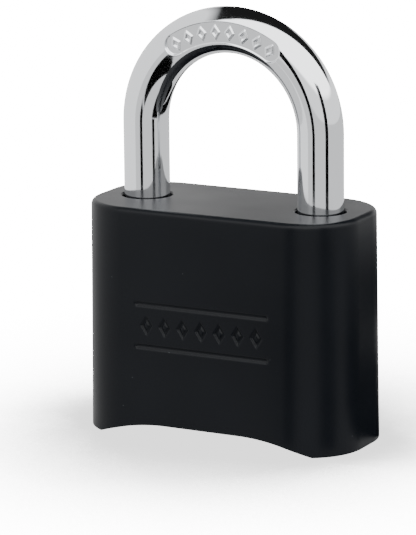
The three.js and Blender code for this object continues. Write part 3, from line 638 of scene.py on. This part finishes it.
def dial_patch(x):
    """A ring section carried round the axis. Its rim falls by NOTCH_DEPTH in a V at each
    notch, its right face has a shallow dish, and its bore steps in to SPLINE_TIP where the
    splines are."""
    degree = np.arange(360)
    from_notch = np.abs((degree - 90) % 36 - 18)
    rim_radius = DIAL_RADIUS - NOTCH_DEPTH * np.clip(1 - from_notch / NOTCH_HALF_ANGLE, 0, 1)
    from_tooth = np.abs(degree % 36 - 18)
    spline = np.where(from_tooth <= TOOTH_HALF_ANGLE, SPLINE_ROOT, SPLINE_TIP)
    whole = np.ones_like(rim_radius)
    eased = DIAL_EDGE * (1 - math.cos(math.pi / 4))
    step = -DIAL_HALF + SPLINE_LENGTH
    dish_in, dish_out = DISH
    section = [
        (DIAL_HALF, (SPLINE_ROOT + BORE_EASE) * whole), (DIAL_HALF, dish_in * whole),
        (DIAL_HALF - DISH_DEPTH, (dish_in + DISH_DEPTH) * whole),
        (DIAL_HALF - DISH_DEPTH, (dish_out - DISH_DEPTH) * whole), (DIAL_HALF, dish_out * whole),
        (DIAL_HALF, rim_radius - DIAL_EDGE), (DIAL_HALF - eased, rim_radius - eased),
        (DIAL_HALF - DIAL_EDGE, rim_radius), (0.6, rim_radius), (-0.6, rim_radius),
        (-DIAL_HALF + DIAL_EDGE, rim_radius), (-DIAL_HALF + eased, rim_radius - eased),
        (-DIAL_HALF, rim_radius - DIAL_EDGE), (-DIAL_HALF, dish_out * whole),
        (-DIAL_HALF, (dish_in + DISH_DEPTH) * whole), (-DIAL_HALF, spline + 0.1),
        (-DIAL_HALF + 0.1, spline), (step, spline), (step, SPLINE_ROOT * whole),
        (DIAL_HALF - BORE_EASE, SPLINE_ROOT * whole),
        (DIAL_HALF, (SPLINE_ROOT + BORE_EASE) * whole)]
    angle = np.radians(degree)
    rows = np.array([
        np.column_stack([np.full(360, x + place_x), r * np.cos(angle), AXIS_Z + r * np.sin(angle)])
        for place_x, r in section])
    return rows.reshape(-1, 3), grid_quads(*rows.shape[:2])


# Turned brass, handled until it is a warm dull gold: the tool leaves rings 0.12 mm
# apart about the X axis, and the faces tarnish in brown clouds a few mm wide.
dial_brass, tree, shader, place = new_finish("turned_brass")
along = add_node(
    tree, "ShaderNodeMapping",
    {"Scale": (1 / (0.12 * MM), 1 / (6 * MM), 1 / (6 * MM))}, {"Vector": place})
rings = add_node(
    tree, "ShaderNodeTexNoise", {"Scale": 1.0, "Detail": 3.0}, {"Vector": along.outputs[0]})
stain = add_node(tree, "ShaderNodeTexNoise", {"Scale": 1 / (3 * MM), "Detail": 5.0}, {"Vector": place})
warmth = add_node(
    tree, "ShaderNodeMix", {"data_type": "RGBA", 6: linear("#c9a659"), 7: linear("#a27c3a")},
    {0: stain.outputs[0]})
wear = add_node(
    tree, "ShaderNodeMapRange", {"To Min": 0.2, "To Max": 0.42}, {"Value": stain.outputs[0]})
bump = add_node(
    tree, "ShaderNodeBump", {"Strength": 0.25, "Distance": 0.012 * MM}, {"Height": rings.outputs[0]})
tree.links.new(warmth.outputs[2], shader.inputs["Base Color"])
tree.links.new(wear.outputs[0], shader.inputs["Roughness"])
tree.links.new(bump.outputs[0], shader.inputs["Normal"])
shader.inputs["Metallic"].default_value = 1.0

# Enamel paint wiped into the digits: black, a little glossy and uneven.
digit_paint, tree, shader, place = new_finish("black_enamel_fill")
uneven = add_node(
    tree, "ShaderNodeTexNoise", {"Scale": 1 / (0.4 * MM), "Detail": 3.0}, {"Vector": place})
shine = add_node(
    tree, "ShaderNodeMapRange", {"To Min": 0.25, "To Max": 0.5}, {"Value": uneven.outputs[0]})
ink = add_node(
    tree, "ShaderNodeMix", {"data_type": "RGBA", 6: linear("#0c0c0d"), 7: linear("#1b1a18")},
    {0: uneven.outputs[0]})
tree.links.new(ink.outputs[2], shader.inputs["Base Color"])
tree.links.new(shine.outputs[0], shader.inputs["Roughness"])


def digit_mesh(digit):
    """A digit as a flat plate, cut into level strips so that it can be wrapped round a
    rim. Its middle is the origin. CAP_SHARE is a digit's height over the font's size."""
    curve = bpy.data.curves.new(f"digit_{digit}", "FONT")
    curve.body = str(digit)
    curve.size = DIGIT_HEIGHT / CAP_SHARE
    curve.extrude = DIGIT_THICKNESS / 2
    curve.resolution_u = 5
    text = bpy.data.objects.new(curve.name, curve)
    bpy.context.scene.collection.objects.link(text)
    bpy.context.view_layer.update()
    mesh = bpy.data.meshes.new_from_object(text)
    work = bmesh.new()
    work.from_mesh(mesh)
    bmesh.ops.remove_doubles(work, verts=work.verts, dist=1e-4)
    places = np.array([v.co for v in work.verts])
    middle = (places.min(axis=0) + places.max(axis=0)) / 2
    bmesh.ops.translate(work, verts=work.verts, vec=Vector(-middle))
    for level in np.arange(-1.4, 1.5, 0.25):
        everything = work.verts[:] + work.edges[:] + work.faces[:]
        bmesh.ops.bisect_plane(work, geom=everything, plane_co=(0, level, 0), plane_no=(0, 1, 0))
    bmesh.ops.triangulate(work, faces=work.faces)
    points = np.array([v.co for v in work.verts])
    faces = np.array([[v.index for v in f.verts] for f in work.faces])
    work.free()
    bpy.data.objects.remove(text)
    bpy.data.meshes.remove(mesh)
    return points, faces


digits = [digit_mesh(digit) for digit in range(10)]


def wrap_digit(digit, x):
    """A digit laid on the rim: along X, round the axis by height / radius, and a little
    proud. Digit 0 looks straight down, and the tops of the digits lean to the front."""
    points, faces = digits[digit]
    angle = -math.pi / 2 + digit * math.pi / 5 - points[:, 1] / DIAL_RADIUS
    radius = DIAL_RADIUS + DIGIT_PROUD - DIGIT_THICKNESS / 2 + points[:, 2]
    spots = np.column_stack([
        x + points[:, 0], radius * np.cos(angle), AXIS_Z + radius * np.sin(angle)])
    return spots, faces


for number, x in enumerate(DIAL_X, 1):
    wheel = make_piece(f"number_wheel_{number}", [dial_patch(x)], dial_brass, sharp_degrees=28)
    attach(wheel, f"dial_body_{number}")
    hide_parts(f"dial_{number}")
    wrapped = [wrap_digit(digit, x) for digit in range(10)]
    marks = make_piece(f"wheel_digits_{number}", wrapped, digit_paint, sharp_degrees=30)
    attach(marks, f"dial_body_{number}")

# ---- shackle spring ------------------------------------------------------------------
# A coil of bright drawn wire in the heel leg's hole. It stands on the frame inside the
# lock and pushes the shackle up when the code is right.

WIRE_RADIUS = 0.225
COIL_RADIUS = 1.4
COIL_TURNS = 11
SPRING_TOP = 34.2
SPRING_FOOT = 15.5


def coil(radius, start, end, turns, points_per_turn=24, sides=10):
    """A wire swept along a helix about the Z axis: the helix climbs evenly from start to
    end, and each ring of the wire lies in the plane through the axis and its own angle.
    Both ends close to a point."""
    steps = turns * points_per_turn
    share = np.concatenate([[0], np.linspace(0, 1, steps + 1), [1]])
    thick = np.full(len(share), WIRE_RADIUS)
    thick[[0, -1]] = 0
    angle = 2 * math.pi * turns * share
    level = start + WIRE_RADIUS + (end - start - 2 * WIRE_RADIUS) * share
    round_wire = np.arange(sides) / sides * 2 * math.pi
    reach = radius + thick[:, None] * np.cos(round_wire)
    rise = level[:, None] + thick[:, None] * np.sin(round_wire)
    rings = np.stack([reach * np.cos(angle)[:, None], reach * np.sin(angle)[:, None], rise], axis=-1)
    return rings.reshape(-1, 3), grid_quads(*rings.shape[:2])


# Bright drawn spring wire: a grey steel with lines along the wire too fine to see, here
# a grain 0.2 mm across that breaks up its shine.
spring_wire, tree, shader, place = new_finish("drawn_spring_steel")
drawn = add_node(
    tree, "ShaderNodeTexNoise", {"Scale": 1 / (0.2 * MM), "Detail": 4.0}, {"Vector": place})
shade = add_node(
    tree, "ShaderNodeMix", {"data_type": "RGBA", 6: linear("#9a9da0"), 7: linear("#b5b7b8")},
    {0: drawn.outputs[0]})
shine = add_node(
    tree, "ShaderNodeMapRange", {"To Min": 0.2, "To Max": 0.36}, {"Value": drawn.outputs[0]})
tree.links.new(shade.outputs[2], shader.inputs["Base Color"])
tree.links.new(shine.outputs[0], shader.inputs["Roughness"])
shader.inputs["Metallic"].default_value = 1.0

points, quads = coil(COIL_RADIUS, SPRING_FOOT, SPRING_TOP, COIL_TURNS)
lift_coil = make_piece("shackle_coil", [(points + [-LEG_X, 0, 0], quads)], spring_wire)
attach(lift_coil, "case")
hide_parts("shackle_spring")

# ---- parts inside --------------------------------------------------------------------
# The castings, stampings and turned parts that the case hides keep the frame's shapes,
# and take the finish that each has from its maker.

# Raw zinc die casting: a pale matt grey, with flow marks a few mm long from the mould.
raw_zinc, tree, shader, place = new_finish("raw_zinc_casting")
flow = add_node(
    tree, "ShaderNodeTexNoise",
    {"Scale": 1 / (4 * MM), "Detail": 6.0, "Distortion": 1.5}, {"Vector": place})
skin = add_node(
    tree, "ShaderNodeMix", {"data_type": "RGBA", 6: linear("#8d9093"), 7: linear("#a5a7a8")},
    {0: flow.outputs[0]})
matt = add_node(tree, "ShaderNodeMapRange", {"To Min": 0.42, "To Max": 0.6}, {"Value": flow.outputs[0]})
pits = add_node(tree, "ShaderNodeTexNoise", {"Scale": 1 / (0.3 * MM), "Detail": 3.0}, {"Vector": place})
bump = add_node(
    tree, "ShaderNodeBump", {"Strength": 0.3, "Distance": 0.02 * MM}, {"Height": pits.outputs[0]})
tree.links.new(skin.outputs[2], shader.inputs["Base Color"])
tree.links.new(matt.outputs[0], shader.inputs["Roughness"])
tree.links.new(bump.outputs[0], shader.inputs["Normal"])
shader.inputs["Metallic"].default_value = 0.9

inside_finishes = {
    raw_zinc: ["dial_frame"],
    zinc_plate: ["fence_plate", "spindle", "thrust_washer", "change_slider", "change_cam"],
    spring_wire: [
        "spindle_clip", "cam_clip", "slider_spring", *[f"detent_spring_{k}" for k in (1, 2, 3, 4)]],
    dial_brass: [f"code_hub_{k}" for k in (1, 2, 3, 4)],
}
for finish, names in inside_finishes.items():
    for name in names:
        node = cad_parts[name]
        node.data.materials.clear()
        node.data.materials.append(finish)

# ---- studio --------------------------------------------------------------------------
# A pale table that glows softly, so that even the floor under the arch stays light. Its
# shadow is painted: the glow is dimmed by ambient occlusion where the lock stands near,
# and the camera sees a brighter glow than the lock is lit by. The tent round it is white,
# with a broad light over the right front and a dark roof behind. Cards round the lock,
# seen only in reflections, draw the dark lines and the bright side on the chrome and
# paint; the black strips that lie on the floor by the lock are painted shade, which
# darkens the floor in those reflections.

# The table's glow to the camera and to the lock, from where the lock hides it most to the open floor: the
# low ends are the painted shadow.
TABLE_GLOW = (1.9, 18.0)
TABLE_LIGHT = (0.2, 1.0)
TENT_LIGHT = 1.9
ROOF_LIGHT = (0.02, 4.5)

floor_mesh = bpy.data.meshes.new("floor")
floor_mesh.from_pydata([(-3, -3, 0), (3, -3, 0), (3, 3, 0), (-3, 3, 0)], [], [(0, 1, 2, 3)])
floor = bpy.data.objects.new("floor", floor_mesh)
bpy.context.scene.collection.objects.link(floor)
table = bpy.data.materials.new("glowing_white_table_painted_shadow")
table.use_nodes = True
tree = table.node_tree
tree.nodes.clear()
# Painted shadow: the glow follows ambient occlusion, dimmer near the lock, brighter to the camera than to
# the lock.
open_sky_for_painted_shadow = add_node(
    tree, "ShaderNodeAmbientOcclusion", {"Distance": 0.115, "samples": 16}, {}).outputs["AO"]
clear = add_node(tree, "ShaderNodeMapRange", {"From Min": 0.66, "From Max": 0.975}, {"Value": open_sky_for_painted_shadow})
soft = add_node(tree, "ShaderNodeMath", {"operation": "POWER", 1: 3.2}, {0: clear.outputs[0]})
seen = add_node(
    tree, "ShaderNodeMapRange", {"To Min": TABLE_GLOW[0], "To Max": TABLE_GLOW[1]},
    {"Value": soft.outputs[0]})
lit_with_painted_shadow = add_node(
    tree, "ShaderNodeMapRange", {"From Max": 0.8, "To Min": TABLE_LIGHT[0], "To Max": TABLE_LIGHT[1]},
    {"Value": open_sky_for_painted_shadow})
path = add_node(tree, "ShaderNodeLightPath", {}, {})
glow = add_node(
    tree, "ShaderNodeMix", {"data_type": "FLOAT"},
    {0: path.outputs["Is Camera Ray"], 2: lit_with_painted_shadow.outputs[0], 3: seen.outputs[0]})
shine = add_node(tree, "ShaderNodeEmission", {}, {"Strength": glow.outputs[0]})
side = add_node(tree, "ShaderNodeNewGeometry", {}, {})
nothing = add_node(tree, "ShaderNodeBsdfTransparent", {}, {})
one_sided = add_node(
    tree, "ShaderNodeMixShader", {},
    {0: side.outputs["Backfacing"], 1: shine.outputs[0], 2: nothing.outputs[0]})
add_node(tree, "ShaderNodeOutputMaterial", {}, {"Surface": one_sided.outputs[0]})
floor_mesh.materials.append(table)

world = bpy.data.worlds.new("tent")
bpy.context.scene.world = world
world.use_nodes = True
tree = world.node_tree
tree.nodes.clear()
look = add_node(tree, "ShaderNodeTexCoord", {}, {}).outputs["Generated"]
towards = add_node(tree, "ShaderNodeSeparateXYZ", {}, {0: look})
high = add_node(
    tree, "ShaderNodeMapRange", {"From Min": 0.28, "From Max": 0.36}, {"Value": towards.outputs["Z"]})
not_left = add_node(
    tree, "ShaderNodeMapRange", {"From Min": -0.62, "From Max": -0.5}, {"Value": towards.outputs["X"]})
roof = add_node(
    tree, "ShaderNodeMath", {"operation": "MULTIPLY"}, {0: high.outputs[0], 1: not_left.outputs[0]})
behind = add_node(
    tree, "ShaderNodeVectorMath", {"operation": "DOT_PRODUCT", 1: (-0.727, 0.686, 0.008)}, {0: look})
light = add_node(
    tree, "ShaderNodeMapRange",
    {"From Min": 0.02, "From Max": -0.02, "To Min": ROOF_LIGHT[0], "To Max": ROOF_LIGHT[1]},
    {"Value": behind.outputs["Value"]})
around = add_node(
    tree, "ShaderNodeMix", {"data_type": "FLOAT", 2: TENT_LIGHT},
    {0: roof.outputs[0], 3: light.outputs[0]})
path = add_node(tree, "ShaderNodeLightPath", {}, {})
shown = add_node(
    tree, "ShaderNodeMix", {"data_type": "FLOAT", 3: TABLE_GLOW[1]},
    {0: path.outputs["Is Camera Ray"], 2: around.outputs[0]})
sky = add_node(tree, "ShaderNodeBackground", {}, {"Strength": shown.outputs[0]})
add_node(tree, "ShaderNodeOutputWorld", {}, {"Surface": sky.outputs[0]})


def card(name, azimuths, foot, head, glow, about=(0.0, 0.0)):
    """A card that only reflections see: a surface swept about a spot between two azimuths,
    0 being the front, from one (radius, height) to another. Glow 0 is black: a flag when it
    stands, painted shade when it lies on the floor by the lock."""
    turn = np.radians(np.linspace(*azimuths, 33))
    away = np.column_stack([np.sin(turn), -np.cos(turn)])
    rows = [
        np.column_stack([about + away * radius, np.full(len(turn), height)])
        for radius, height in (foot, head)]
    start = np.arange(len(turn) - 1)
    quads = np.column_stack([start, start + 1, start + 1 + len(turn), start + len(turn)])
    mesh = bpy.data.meshes.new(name)
    mesh.from_pydata((np.vstack(rows) * MM).tolist(), [], quads.tolist())
    card_finish = bpy.data.materials.new(name + "_card_finish")
    card_finish.use_nodes = True
    tree = card_finish.node_tree
    tree.nodes.clear()
    lamp = add_node(tree, "ShaderNodeEmission", {"Strength": glow}, {})
    add_node(tree, "ShaderNodeOutputMaterial", {}, {"Surface": lamp.outputs[0]})
    mesh.materials.append(card_finish)
    made = bpy.data.objects.new(name, mesh)
    bpy.context.scene.collection.objects.link(made)
    made.visible_camera = False
    made.visible_diffuse = False
    made.visible_shadow = False


card("left_glow", (-152, -33), (190, 1), (190, 150), 1.5)
card("left_flag", (-9, 4), (190, 1), (190, 150), 0.0)
card("right_flag", (54, 67), (190, 1), (190, 150), 0.0)
# These three lie flat on the floor by the lock: painted shade, black sheets that darken the floor in
# reflections where the lock's shadow falls.
card("left_painted_shade_strip", (-28, 1), (8, 0.3), (160, 0.3), 0.0, (17, -11))
card("right_painted_shade_strip", (51, 86), (8, 0.3), (160, 0.3), 0.0, (19, -9))
card("end_painted_shade_strip", (95, 180), (6, 0.3), (70, 0.3), 0.0, (22, 0))
card("end_flag", (100, 200), (90, 0.2), (90, 20), 0.0)
card("arch_flag", (-176, -148), (98, 72), (98, 112), 0.0)

# ---- camera --------------------------------------------------------------------------
# A long lens from the right and a little above, so that uprights stay nearly parallel.

CAMERA_AZIMUTH = 28.0
CAMERA_ELEVATION = 12.95
CAMERA_ROLL = -0.58
CAMERA_DISTANCE = 625.0
CAMERA_AIM = (-4.38, 27.9)
LENS = 242.9

turn, tilt, roll = (math.radians(v) for v in (CAMERA_AZIMUTH, CAMERA_ELEVATION, CAMERA_ROLL))
ahead = Vector((-math.sin(turn) * math.cos(tilt), math.cos(turn) * math.cos(tilt), -math.sin(tilt)))
right = Vector((math.cos(turn), math.sin(turn), 0))
above = right.cross(ahead)
spot = (right * CAMERA_AIM[0] + above * CAMERA_AIM[1] - ahead * CAMERA_DISTANCE) * MM
rolled_right = right * math.cos(roll) + above * math.sin(roll)
rolled_above = above * math.cos(roll) - right * math.sin(roll)
axes = Matrix((rolled_right, rolled_above, -ahead)).transposed().to_4x4()
lens = bpy.data.cameras.new("camera")
lens.lens = LENS
lens.sensor_width = 36.0
camera = bpy.data.objects.new("camera", lens)
camera.matrix_world = Matrix.Translation(spot) @ axes
bpy.context.scene.collection.objects.link(camera)
bpy.context.scene.camera = camera
